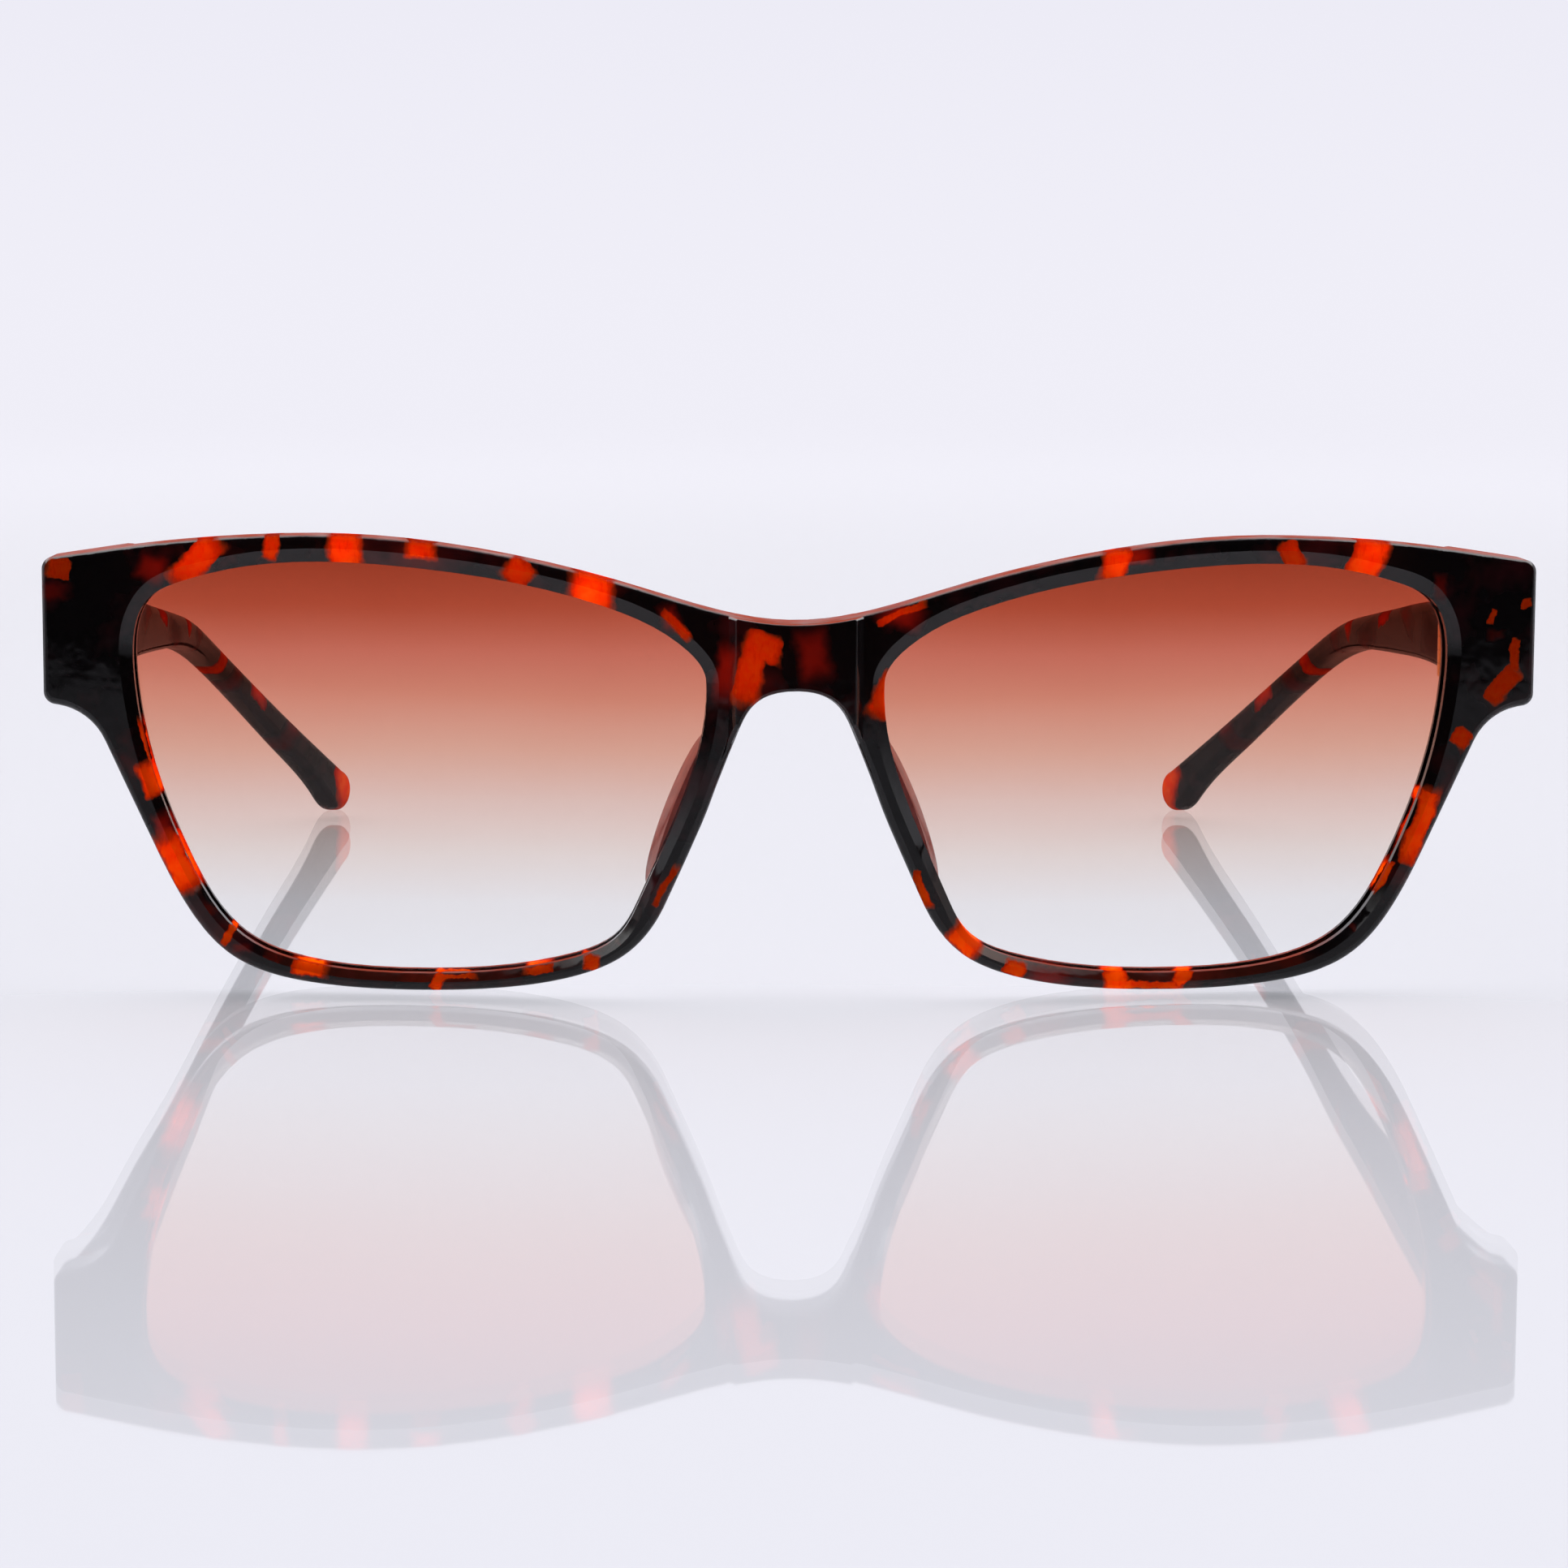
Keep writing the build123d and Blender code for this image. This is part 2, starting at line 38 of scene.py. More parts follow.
# ---- stage --------------------------------------------------------------------------------
BACKDROP_TOP = (0.820, 0.812, 0.905)
BACKDROP_LOW = (0.868, 0.858, 0.935)
FLOOR_COLOUR = (0.16, 0.16, 0.168)
FLOOR_GLOW = (0.47, 0.475, 0.515)    # light that the floor sends out, so that its shadows stay pale
FLOOR_INDEX = 1.27               # refractive index, which sets how strongly the floor mirrors
SHEET_INDEX = 1.06               # the same for the clear sheet on it
FLOOR_RADIUS = 1.6
FLOOR_FRONT = 0.33               # how far in front the pale floor ends
FLOOR_FRONT_BLUR = 0.02
FLOOR_RINGS = 24
FLOOR_SPOKES = 96
SHEET_THICKNESS = 1.0 * MM       # clear sheet on the floor, which gives the second reflection
SHEET_GAP = 0.02 * MM            # the glasses stand this far above it
DARK_SIDE = 0.012                # brightness of the unlit side of the room, which faces the lenses
LIT_SIDE = (1.0, 0.99, 1.05)     # colour of the lit side, behind and above the glasses
LIGHT_LEVEL = 4.0                # and its brightness
MIRRORED_SIDE = (0.985, 0.975, 1.05)
MIRRORED_LEVEL = 0.95            # how bright the lit side looks in a reflection
STRIP_LEVEL = 4.0                # the same for the long lamp high up behind the glasses
OVERHEAD_PLACE = (0, 0.15, 0.9)
OVERHEAD_SIZE = (0.9, 0.5)
OVERHEAD_POWER = 1.0             # in watts

# ---- finishes -----------------------------------------------------------------------------
# gloss: share of the shiny surface in what is seen, where the rest is light from inside
# clarity: how much light comes through
# specular: strength of the surface's reflections
FRONT_FINISH = {"gloss": 0.75, "clarity": 1.0, "specular": 0.5}
TEMPLE_FINISH = {"gloss": 0.4, "clarity": 0.6, "specular": 0.12}
ACETATE_INDEX = 1.50
DARK_BODY = (0.02, 0.012, 0.014)       # light that comes through where there is no patch
CLOUD_LIGHT = (0.07, 0.0168, 0.0245)   # and where it is a little clearer
GARNET_LIGHT = (0.9, 0.11, 0.06)
AMBER_LIGHT = [                        # from where the acetate is thick to where it is thin
    (0.0, (0.86, 0.06, 0.002)),
    (0.5, (0.95, 0.19, 0.008)),
    (1.0, (1.0, 0.36, 0.025)),
]
PATCH_RIM = (0.50, 0.012, 0.001)       # just inside a patch's edge
PAINTED_PATCH_GLOW = (0.13, 0.006, 0.0)        # painted glow: light a patch sends out itself, standing in for light spread inside it, also where its back is covered
BLACK_SURFACE = (0.004, 0.003, 0.0035)
BROWN_SURFACE = (0.012, 0.003, 0.004)
AMBER_SURFACE = (0.75, 0.09, 0.008)
PAINTED_TOP_GLOW = (0.27, 0.032, 0.010)        # painted glow on surfaces that face up, standing in for light from above shining through the top edge
LENS_INDEX = 1.50
LENS_TINT = [                          # from the bottom of a lens to its top
    (0.02, (0.97, 0.975, 0.975)),
    (0.18, (0.955, 0.945, 0.935)),
    (0.30, (0.935, 0.875, 0.835)),
    (0.42, (0.91, 0.775, 0.715)),
    (0.54, (0.89, 0.65, 0.555)),
    (0.66, (0.86, 0.53, 0.43)),
    (0.77, (0.81, 0.425, 0.34)),
    (0.88, (0.70, 0.285, 0.195)),
    (0.99, (0.61, 0.225, 0.145)),
]
PAD_DARK = (0.28, 0.052, 0.034)
PAD_PALE = (0.42, 0.10, 0.065)
PAD_INDEX = 1.49

# Amber patches in the front, set out in millimetres: distance from the middle (wearer's
# left positive), height, half width, half height, and lean in degrees (top towards the wearer's left).
AMBER_PATCHES = [
    # upper edge, from the wearer's right to left
    (-69.5, 39.4, 1.1, 0.9, 10),
    (-56.4, 40.2, 1.35, 3.0, 42),
    (-49.1, 41.9, 0.75, 1.3, 10),
    (-42.2, 41.6, 1.6, 1.9, 0),
    (-35.0, 41.9, 1.4, 1.0, 5),
    (-25.9, 39.6, 1.2, 1.3, -50),
    (-19.0, 38.3, 2.0, 2.2, 8),
    (30.0, 40.6, 1.25, 1.7, 12),
    (46.9, 41.2, 1.0, 1.5, -25),
    (54.3, 40.9, 1.7, 2.4, 18),
    # bridge
    (-11.2, 34.9, 0.45, 1.9, -45),
    (-4.3, 30.6, 1.3, 2.9, 14),
    (-3.1, 32.9, 1.8, 1.3, 20),
    (8.5, 28.3, 1.1, 2.2, 26),
    (9.8, 36.0, 2.4, 0.35, -22),
    # end piece on the wearer's left
    (61.2, 33.4, 0.25, 0.9, 0),
    (70.3, 36.4, 0.5, 0.45, 0),
    (68.0, 28.6, 1.0, 1.9, 38),
    (69.2, 31.4, 0.5, 1.6, 5),
    (66.9, 35.2, 0.35, 0.7, 20),
    (64.0, 23.6, 0.9, 1.0, 40),
    # outer side and lower edge, wearer's left
    (60.0, 15.0, 0.85, 3.7, 22),
    (60.9, 17.9, 0.9, 0.6, 20),
    (56.7, 10.3, 0.22, 1.7, 32),
    (30.5, 1.0, 1.2, 1.1, -8),
    (33.8, 0.45, 3.4, 0.42, 1),
    (37.2, 1.2, 0.55, 1.1, 50),
    (20.8, 2.3, 0.95, 0.75, 20),
    (16.3, 5.1, 1.35, 1.7, -45),
    (12.0, 10.0, 0.5, 1.9, -18),
    # lower edge and outer side, wearer's right
    (-12.2, 10.2, 0.33, 2.0, 28),
    (-19.2, 2.9, 0.8, 0.7, 10),
    (-24.1, 2.15, 1.4, 0.35, -8),
    (-32.0, 1.4, 1.9, 0.22, -3),
    (-33.7, 0.8, 0.5, 0.9, 35),
    (-45.9, 1.85, 1.7, 0.6, 5),
    (-53.5, 4.9, 0.38, 1.1, 25),
    (-58.4, 11.6, 1.15, 2.8, -27),
    (-61.0, 19.5, 0.95, 1.7, -20),
    (-61.4, 22.8, 0.22, 2.4, -14),
]
# Fainter dark red ones, set out in the same way.
GARNET_PATCHES = [
    (-70.0, 37.3, 1.4, 0.8, 0),
    (-60.6, 39.6, 1.2, 1.2, 20),
    (-11.8, 35.4, 0.9, 1.3, -15),
    (-6.6, 30.5, 0.9, 2.4, 8),
    (1.6, 32.2, 1.4, 2.2, -10),
    (9.8, 35.9, 2.0, 1.1, 20),
    (32.2, 41.4, 1.2, 0.8, 0),
    (61.5, 38.0, 0.6, 1.2, 0),
    (67.2, 33.5, 0.8, 0.5, 0),
    (-52.2, 3.6, 0.8, 0.4, 0),
    (-59.6, 15.2, 0.9, 1.2, -25),
    (24.0, 1.6, 2.0, 0.8, 10),
]
# The same two kinds on a temple, seen from the side. The first number is the depth behind the temple's
# front end.
TEMPLE_AMBER = [
    (5, 29, 2.4, 1.2, 30),
    (47, 31, 3.0, 1.0, 15),
    (68, 29, 3.0, 1.3, -30),
    (86, 22, 3.5, 1.3, -35),
    (99, 17, 2.4, 1.2, 30),
    (123, 3.5, 3.2, 3.2, -20),
]
TEMPLE_GARNET = [
    (20, 31, 6.0, 2.0, 0),
    (37, 33, 6.0, 1.4, -20),
    (56, 28, 5.0, 1.4, 15),
    (76, 28, 5.0, 1.6, -30),
    (92, 20, 4.0, 1.6, -40),
    (109, 12, 4.5, 1.6, -35),
]


class NodeTree:
    """A few shorthands for building a material's nodes."""

    def __init__(self, tree):
        self.tree = tree
        tree.nodes.clear()

    def add(self, kind, inputs=None, **settings):
        node = self.tree.nodes.new(kind)
        for name, value in settings.items():
            setattr(node, name, value)
        for socket, value in (inputs or {}).items():
            self.put(node.inputs[socket], value)
        return node

    def put(self, socket, value):
        """Link an output to a socket, or set the socket to a number, vector or colour."""
        if isinstance(value, bpy.types.NodeSocket):
            self.tree.links.new(value, socket)
        elif socket.type == "RGBA":
            socket.default_value = (*value, 1.0)
        else:
            socket.default_value = value

    def maths(self, operation, a, b=0.0, clamp=False):
        return self.add("ShaderNodeMath", {0: a, 1: b}, operation=operation, use_clamp=clamp).outputs[0]

    def vector_maths(self, operation, a, b=(0, 0, 0)):
        return self.add("ShaderNodeVectorMath", {0: a, 1: b}, operation=operation).outputs[0]

    def scaled_vector(self, vector, factor):
        return self.add("ShaderNodeVectorMath", {0: vector, 3: factor}, operation="SCALE").outputs[0]

    def parts(self, vector):
        """The X, Y and Z of a vector, by name."""
        return self.add("ShaderNodeSeparateXYZ", {0: vector}).outputs

    def noise(self, vector, scale, detail=2.0, roughness=0.5, colour=False):
        settings = {"Vector": vector, "Scale": scale, "Detail": detail, "Roughness": roughness}
        return self.add("ShaderNodeTexNoise", settings).outputs["Color" if colour else "Fac"]

    def ramp(self, factor, stops):
        node = self.add("ShaderNodeValToRGB", {"Fac": factor})
        elements = node.color_ramp.elements
        while len(elements) < len(stops):
            elements.new(0.5)
        for element, (position, colour) in zip(elements, stops):
            element.position = position
            element.color = (*colour, 1.0)
        return node.outputs["Color"]

    def soft_step(self, value, start, end):
        """0 up to start and 1 from end on, with a smooth change between them."""
        limits = {"Value": value, "From Min": start, "From Max": end}
        return self.add("ShaderNodeMapRange", limits, interpolation_type="SMOOTHSTEP").outputs[0]

    def blend(self, factor, a, b, mode="MIX"):
        node = self.add("ShaderNodeMix", data_type="RGBA", blend_type=mode)
        for socket, value in ((node.inputs[0], factor), (node.inputs[6], a), (node.inputs[7], b)):
            self.put(socket, value)
        return node.outputs[2]

    def place(self):
        """The object's own coordinates, in metres."""
        return self.add("ShaderNodeTexCoord").outputs["Object"]

    def millimetres(self):
        """The object's own coordinates, in millimetres."""
        return self.scaled_vector(self.place(), 1 / MM)

    def bump(self, height, strength, distance):
        settings = {"Height": height, "Strength": strength, "Distance": distance}
        return self.add("ShaderNodeBump", settings).outputs[0]

    def reflection_share(self, index):
        """How much a clear surface reflects: nothing from inside, so that its far side stays clear."""
        from_outside = self.maths("SUBTRACT", 1.0, self.add("ShaderNodeNewGeometry").outputs["Backfacing"])
        return self.maths("MULTIPLY", self.add("ShaderNodeFresnel", {"IOR": index}).outputs[0], from_outside)

    def mixed(self, share, first, second):
        return self.add("ShaderNodeMixShader", {0: share, 1: first, 2: second}).outputs[0]

    def output(self, shader):
        self.add("ShaderNodeOutputMaterial", {"Surface": shader})


def new_material(name):
    material = bpy.data.materials.new(name)
    material.use_nodes = True
    return material, NodeTree(material.node_tree)


def grey(value):
    return (value, value, value)


def scaled(colour, factor):
    return tuple(factor * part for part in colour)


# ---- materials ----------------------------------------------------------------------------
def patch_field(nodes, place, patches, in_side_view):
    """How far inside the nearest patch a point is: 0 on a patch's edge, 1 in its middle."""
    nearest = None
    for across, height, half_width, half_height, lean in patches:
        if in_side_view:
            location = (0, across, height)
            rotation = (math.radians(-lean), 0, 0)
            scale = (1, half_width, half_height)
        else:
            location = (across, 0, height)
            rotation = (0, math.radians(lean), 0)
            scale = (half_width, 1, half_height)
        transform = {"Vector": place, "Location": location, "Rotation": rotation, "Scale": scale}
        local = nodes.add("ShaderNodeMapping", transform, vector_type="TEXTURE").outputs[0]
        # The sum of eighth powers gives a patch the outline of a rounded rectangle.
        square = nodes.vector_maths("MULTIPLY", local, local)
        fourth = nodes.vector_maths("MULTIPLY", square, square)
        eighths = nodes.add("ShaderNodeVectorMath", {0: fourth, 1: fourth}, operation="DOT_PRODUCT")
        distance = eighths.outputs["Value"]
        nearest = distance if nearest is None else nodes.maths("MINIMUM", nearest, distance)
    return nodes.maths("SUBTRACT", 1.0, nodes.maths("POWER", nearest, 1 / 8))


def shifted(nodes, place, scale, detail, size):
    """A random push of up to about half of size, in millimetres, that changes from place to place."""
    push = nodes.vector_maths("SUBTRACT", nodes.noise(place, scale, detail, colour=True), grey(0.5))
    return nodes.scaled_vector(push, size)


def patch_plane(nodes, place, start_depth, in_side_view):
    """Where a point lies in the plane in which the patches are set out, pushed about a little."""
    flat = nodes.vector_maths("SUBTRACT", place, (0, start_depth, 0))
    flat = nodes.vector_maths("ADD", flat, shifted(nodes, place, 0.45, 3.0, 0.9))
    flat = nodes.vector_maths("ADD", flat, shifted(nodes, place, 1.3, 2.0, 0.45))
    return nodes.vector_maths("MULTIPLY", flat, (0, 1, 1) if in_side_view else (1, 0, 1))


def amber_colour(nodes, place, streaks, sideways, inside):
    """Colour of an amber patch: warmer on bevels and low on the rims, where the acetate is thin."""
    hue = nodes.ramp(nodes.noise(place, 0.5, 3.0), [(0.35, grey(0.0)), (0.68, grey(0.55))])
    on_bevel = nodes.maths("MULTIPLY", nodes.soft_step(sideways, 0.97, 0.80), 0.35)
    low_down = nodes.maths("MULTIPLY", nodes.soft_step(nodes.parts(place)["Z"], 36.0, 14.0), 0.45)
    warmth = nodes.maths("ADD", nodes.maths("ADD", on_bevel, hue), low_down, clamp=True)
    grain = nodes.ramp(streaks, [(0.30, (0.85, 0.70, 0.6)), (0.50, grey(1.0))])
    amber = nodes.blend(1.0, nodes.ramp(warmth, AMBER_LIGHT), grain, "MULTIPLY")
    return nodes.blend(nodes.soft_step(inside, -0.05, 0.42), PATCH_RIM, amber)


def acetate_shell(nodes, place, cloud, edge, upward, specular):
    """The polished surface, with a painted glow of light along its top edge."""
    solid = nodes.blend(edge, nodes.blend(cloud, BLACK_SURFACE, BROWN_SURFACE), AMBER_SURFACE)
    roughness = nodes.ramp(nodes.noise(place, 1.7, 5.0, 0.7), [(0.3, grey(0.03)), (0.75, grey(0.075))])
    polished = nodes.add(
        "ShaderNodeBsdfPrincipled",
        {
            "Base Color": solid,
            "Roughness": roughness,
            "IOR": ACETATE_INDEX,
            "Specular IOR Level": specular,
            "Normal": nodes.bump(nodes.noise(place, 0.35, 2.0), 0.12, 0.2 * MM),
        },
    ).outputs[0]
    # Painted glow: surfaces that face up turn matt dark red, standing in for light from above shining
    # through the top edge.
    lit = nodes.add("ShaderNodeBsdfDiffuse", {"Color": PAINTED_TOP_GLOW}).outputs[0]
    patchy = nodes.ramp(nodes.noise(place, 0.25, 3.0), [(0.3, grey(0.65)), (0.6, grey(1.0))])
    faces_up = nodes.soft_step(upward, 0.72, 0.97)
    share = nodes.maths("MULTIPLY", nodes.maths("MULTIPLY", faces_up, patchy), 0.92)
    return nodes.mixed(share, polished, lit)


def tortoiseshell(name, amber_patches, garnet_patches, finish, start_depth=0.0, in_side_view=False):
    """Polished acetate: almost black brown with amber patches that let light through."""
    gloss, clarity = finish["gloss"], finish["clarity"]
    material, nodes = new_material(name)
    place = nodes.millimetres()
    flat = patch_plane(nodes, place, start_depth, in_side_view)
    normal = nodes.parts(nodes.add("ShaderNodeNewGeometry").outputs["Normal"])
    sideways = nodes.maths("ABSOLUTE", normal["X" if in_side_view else "Y"])

    # Patch edges are sharp in some places and soft and streaky in others.
    fuzz = nodes.ramp(nodes.noise(place, 0.3, 2.0), [(0.44, grey(0.05)), (0.66, grey(0.36))])
    streaks = nodes.noise(nodes.vector_maths("MULTIPLY", place, (1.8, 0.5, 0.5)), 1.4, 4.0, 0.65)
    ragged = nodes.maths("MULTIPLY", nodes.maths("SUBTRACT", streaks, 0.5), fuzz)
    inside = nodes.maths("ADD", patch_field(nodes, flat, amber_patches, in_side_view), ragged)
    edge = nodes.soft_step(inside, nodes.maths("MULTIPLY", fuzz, -1.0), fuzz)
    garnet = nodes.soft_step(patch_field(nodes, flat, garnet_patches, in_side_view), -0.5, 0.7)

    cloud = nodes.ramp(nodes.noise(place, 0.13, 3.0, 0.55), [(0.50, grey(0.0)), (0.66, grey(1.0))])
    cloud_light = scaled(CLOUD_LIGHT, clarity / (1.0 - gloss))
    dark = nodes.blend(cloud, scaled(DARK_BODY, clarity), cloud_light)
    dark = nodes.blend(garnet, dark, scaled(GARNET_LIGHT, clarity**2))
    amber = amber_colour(nodes, place, streaks, sideways, inside)
    amber = nodes.blend(1.0, amber, grey(clarity), "MULTIPLY")
    through = nodes.add("ShaderNodeBsdfTranslucent", {"Color": nodes.blend(edge, dark, amber)}).outputs[0]
    # Painted glow: the patches send out a dim red light of their own, standing in for light spread inside
    # the acetate.
    painted_glow = nodes.blend(edge, grey(0.0), scaled(PAINTED_PATCH_GLOW, clarity**2))
    painted_glow = nodes.add("ShaderNodeEmission", {"Color": painted_glow}).outputs[0]
    glow = nodes.add("ShaderNodeAddShader", {0: through, 1: painted_glow}).outputs[0]

    share = nodes.maths("ADD", nodes.maths("MULTIPLY", garnet, 0.2), 1.0 - gloss)
    share_in_patch = nodes.maths("MULTIPLY", nodes.maths("SUBTRACT", 0.96, share), edge)
    share = nodes.maths("ADD", share, share_in_patch)
    shell = acetate_shell(nodes, place, cloud, edge, normal["Z"], finish["specular"])
    nodes.output(nodes.mixed(share, shell, glow))
    return material


def lens_tint():
    """Clear plastic, tinted reddish brown at the top and fading to clear at the bottom."""
    material, nodes = new_material("lens_tint")
    place = nodes.place()
    low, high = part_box("lens_left")
    limits = {"Value": nodes.parts(place)["Z"], "From Min": low.z, "From Max": high.z}
    level = nodes.add("ShaderNodeMapRange", limits).outputs[0]
    drift = nodes.maths("MULTIPLY", nodes.maths("SUBTRACT", nodes.noise(place, 60.0, 1.0), 0.5), 0.03)
    tint = nodes.ramp(nodes.maths("ADD", level, drift), LENS_TINT)
    see_through = nodes.add("ShaderNodeBsdfTransparent", {"Color": tint}).outputs[0]
    gloss = nodes.add("ShaderNodeBsdfGlossy", {"Color": grey(1.0), "Roughness": 0.01}).outputs[0]
    nodes.output(nodes.mixed(nodes.reflection_share(LENS_INDEX), see_through, gloss))
    return material


def pad_acetate():
    """Thin translucent acetate, reddish brown, slightly cloudy."""
    material, nodes = new_material("pad_acetate")
    cloud = nodes.noise(nodes.millimetres(), 0.5, 3.0)
    colour = nodes.ramp(cloud, [(0.3, PAD_DARK), (0.7, PAD_PALE)])
    surface = {"Base Color": colour, "Roughness": nodes.maths("MULTIPLY", cloud, 0.3), "IOR": PAD_INDEX}
    shell = nodes.add("ShaderNodeBsdfPrincipled", surface).outputs[0]
    glow = nodes.add("ShaderNodeBsdfTranslucent", {"Color": colour}).outputs[0]
    nodes.output(nodes.mixed(0.5, shell, glow))
    return material


def metal(name, colour, worn_colour, roughness, brush=(1.0, 1.0, 1.0)):
    """Plated or drawn metal with slight wear and fine brush marks."""
    material, nodes = new_material(name)
    place = nodes.millimetres()
    wear = nodes.noise(place, 0.8, 5.0, 0.65)
    worn = nodes.ramp(wear, [(0.45, grey(0.0)), (0.7, grey(1.0))])
    marks = nodes.noise(nodes.vector_maths("MULTIPLY", place, brush), 6.0, 3.0)
    surface = nodes.add(
        "ShaderNodeBsdfPrincipled",
        {
            "Base Color": nodes.blend(worn, colour, worn_colour),
            "Metallic": 1.0,
            "Roughness": nodes.maths("ADD", nodes.maths("MULTIPLY", wear, 0.12), roughness),
            "Normal": nodes.bump(marks, 0.15, 0.02 * MM),
        },
    ).outputs[0]
    nodes.output(surface)
    return material


def dress(material, *names):
    """Give CAD nodes a material."""
    for name in names:
        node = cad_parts[name]
        node.data.materials.clear()
        node.data.materials.append(material)


def both(name):
    return f"{name}_left", f"{name}_right"


# ---- stage --------------------------------------------------------------------------------
def floor_disc(name, level, material):
    """A flat disc under the glasses, with finer rings near them."""
    vertices = [(0.0, 0.0, level)]
    for ring in range(1, FLOOR_RINGS + 1):
        radius = FLOOR_RADIUS * (ring / FLOOR_RINGS) ** 2
        for spoke in range(FLOOR_SPOKES):
            angle = 2 * math.pi * spoke / FLOOR_SPOKES
            vertices.append((radius * math.cos(angle), radius * math.sin(angle), level))
    faces = []
    for spoke in range(FLOOR_SPOKES):
        following = (spoke + 1) % FLOOR_SPOKES
        faces.append((0, 1 + spoke, 1 + following))
        for ring in range(1, FLOOR_RINGS):
            inner = 1 + (ring - 1) * FLOOR_SPOKES
            outer = 1 + ring * FLOOR_SPOKES
            faces.append((inner + spoke, outer + spoke, outer + following, inner + following))
    mesh = bpy.data.meshes.new(name)
    mesh.from_pydata(vertices, [], faces)
    mesh.materials.append(material)
    disc = bpy.data.objects.new(name, mesh)
    bpy.context.scene.collection.objects.link(disc)


def fade_out(nodes, start, end):
    """1 near the glasses, falling to 0 towards a disc's rim, so that it has no visible edge."""
    distance = nodes.add("ShaderNodeVectorMath", {0: nodes.place()}, operation="LENGTH").outputs["Value"]
    limits = {"Value": distance, "From Min": start, "From Max": end, "To Min": 1.0, "To Max": 0.0}
    return nodes.add("ShaderNodeMapRange", limits, interpolation_type="SMOOTHSTEP").outputs[0]


def front_edge(nodes):
    """0 in front of the pale floor's edge, which the lower half of the glasses mirrors, and 1 behind it."""
    depth = nodes.parts(nodes.place())["Y"]
    return nodes.soft_step(depth, -FLOOR_FRONT - FLOOR_FRONT_BLUR, -FLOOR_FRONT + FLOOR_FRONT_BLUR)


def floor_material():
    """A pale glossy table that glows slightly."""
    material, nodes = new_material("floor")
    cloud = nodes.noise(nodes.place(), 3.0, 2.0)
    colour = nodes.ramp(cloud, [(0.3, FLOOR_COLOUR), (0.7, scaled(FLOOR_COLOUR, 1.02))])
    matt = nodes.add("ShaderNodeBsdfDiffuse", {"Color": colour}).outputs[0]
    lit = nodes.add("ShaderNodeEmission", {"Color": FLOOR_GLOW}).outputs[0]
    body = nodes.add("ShaderNodeAddShader", {0: matt, 1: lit}).outputs[0]
    gloss = nodes.add("ShaderNodeBsdfGlossy", {"Color": grey(1.0), "Roughness": 0.02}).outputs[0]
    fresnel = nodes.add("ShaderNodeFresnel", {"IOR": FLOOR_INDEX}).outputs[0]
    clear = nodes.add("ShaderNodeBsdfTransparent").outputs[0]
    share = nodes.maths("MULTIPLY", fade_out(nodes, 0.4, 1.5), front_edge(nodes))
    nodes.output(nodes.mixed(share, clear, nodes.mixed(fresnel, body, gloss)))
    return material


def sheet_material():
    """A clear sheet that only reflects."""
    material, nodes = new_material("clear_sheet")
    clear = nodes.add("ShaderNodeBsdfTransparent").outputs[0]
    gloss = nodes.add("ShaderNodeBsdfGlossy", {"Roughness": 0.0}).outputs[0]
    share = nodes.maths("MULTIPLY", nodes.reflection_share(SHEET_INDEX), fade_out(nodes, 0.3, 1.0))
    nodes.output(nodes.mixed(nodes.maths("MULTIPLY", share, front_edge(nodes)), clear, gloss))
    return material


def studio_light():
    """Pale studio behind and above the glasses, and a dark one in front of the lenses."""
    world = bpy.data.worlds.new("studio")
    bpy.context.scene.world = world
    world.use_nodes = True
    nodes = NodeTree(world.node_tree)
    way = nodes.parts(nodes.add("ShaderNodeTexCoord").outputs["Generated"])
    lit = nodes.soft_step(way["Y"], -0.18, 0.06)
    light = nodes.blend(lit, grey(DARK_SIDE), scaled(LIT_SIDE, LIGHT_LEVEL))

    above = nodes.soft_step(way["Z"], 0.35, 0.50)
    below_top = nodes.soft_step(way["Z"], 0.97, 0.90)
    strip = nodes.maths("MULTIPLY", nodes.maths("MULTIPLY", above, below_top), lit)
    strip = nodes.maths("MULTIPLY", strip, STRIP_LEVEL)
    strip = nodes.add("ShaderNodeCombineColor", {0: strip, 1: strip, 2: strip}).outputs[0]
    mirrored = nodes.blend(lit, grey(DARK_SIDE), scaled(MIRRORED_SIDE, MIRRORED_LEVEL))
    mirrored = nodes.blend(1.0, mirrored, strip, "ADD")

    backdrop = nodes.blend(nodes.soft_step(way["Z"], -0.02, 0.16), BACKDROP_LOW, BACKDROP_TOP)
    rays = nodes.add("ShaderNodeLightPath").outputs
    colour = nodes.blend(rays["Is Glossy Ray"], light, mirrored)
    colour = nodes.blend(rays["Is Camera Ray"], colour, backdrop)
    background = nodes.add("ShaderNodeBackground", {0: colour, 1: 1.0}).outputs[0]
    nodes.add("ShaderNodeOutputWorld", {"Surface": background})


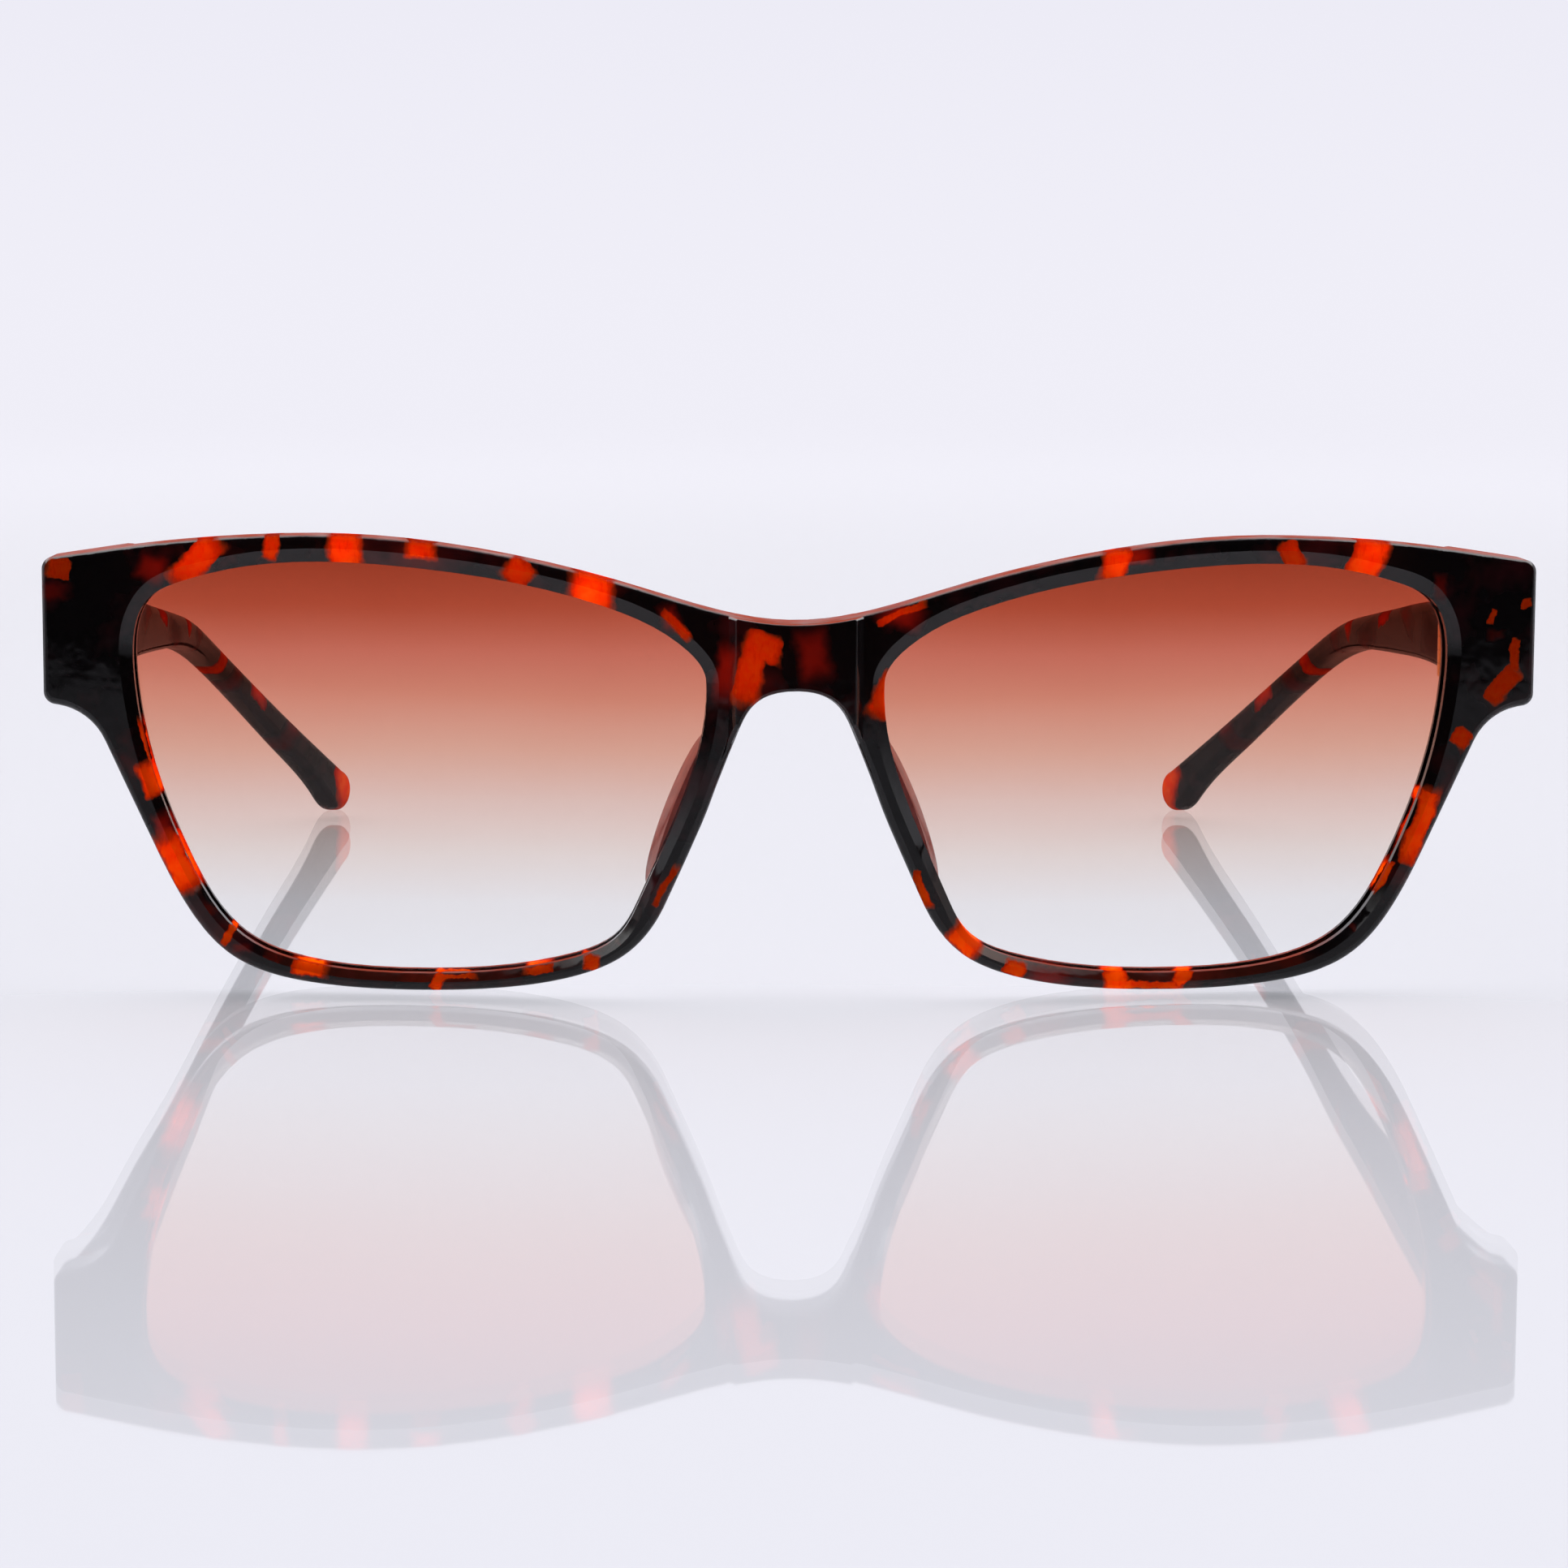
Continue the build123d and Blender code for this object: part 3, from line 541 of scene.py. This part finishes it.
def overhead_light():
    """A large soft lamp above and a little behind the glasses, turned towards them."""
    light = bpy.data.lights.new("overhead", "AREA")
    light.shape = "RECTANGLE"
    light.size, light.size_y = OVERHEAD_SIZE
    light.energy = OVERHEAD_POWER
    lamp = bpy.data.objects.new("overhead", light)
    bpy.context.scene.collection.objects.link(lamp)
    lamp.location = OVERHEAD_PLACE
    lamp.rotation_euler = (-Vector(OVERHEAD_PLACE)).to_track_quat("-Z", "Y").to_euler()


def camera():
    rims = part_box("front_frame")[0].y + BRIDGE_PROUD
    data = bpy.data.cameras.new("camera")
    data.lens = CAMERA_LENS
    data.sensor_width = 36.0
    data.clip_start = 0.01
    view = bpy.data.objects.new("camera", data)
    bpy.context.scene.collection.objects.link(view)
    place = Matrix.Translation((CAMERA_SIDE, rims - CAMERA_DISTANCE, CAMERA_HEIGHT))
    turn = Matrix.Rotation(-CAMERA_YAW, 4, "Z") @ Matrix.Rotation(math.pi / 2 - CAMERA_DOWN, 4, "X")
    view.matrix_world = place @ turn @ Matrix.Rotation(CAMERA_ROLL, 4, "Z")
    bpy.context.scene.camera = view


# ---- put it together ----------------------------------------------------------------------
temple_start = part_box("temple_left")[0].y / MM
front_acetate = tortoiseshell("acetate_front", AMBER_PATCHES, GARNET_PATCHES, FRONT_FINISH)
temple_acetate = tortoiseshell(
    "acetate_temple", TEMPLE_AMBER, TEMPLE_GARNET, TEMPLE_FINISH, temple_start, in_side_view=True
)
gold = metal("gold_plate", (0.86, 0.56, 0.22), (0.70, 0.42, 0.16), 0.14)
bright_gold = metal("polished_gold", (0.90, 0.62, 0.27), (0.78, 0.50, 0.20), 0.08)
wire = metal("core_wire", (0.55, 0.54, 0.52), (0.42, 0.41, 0.40), 0.3, brush=(1, 0.1, 1))
dress(front_acetate, "front_frame")
dress(temple_acetate, *both("temple"))
dress(lens_tint(), *both("lens"))
dress(pad_acetate(), *both("nose_pad"))
dress(gold, *both("hinge_front"), *both("hinge_temple"), *both("hinge_screw"))
dress(bright_gold, *both("temple_trim"), *both("trim_studs"))
dress(wire, *both("temple_core"))

floor_disc("floor", -SHEET_THICKNESS, floor_material())
floor_disc("clear_sheet", -SHEET_GAP, sheet_material())
studio_light()
overhead_light()
camera()

bpy.context.scene.view_settings.view_transform = "Standard"
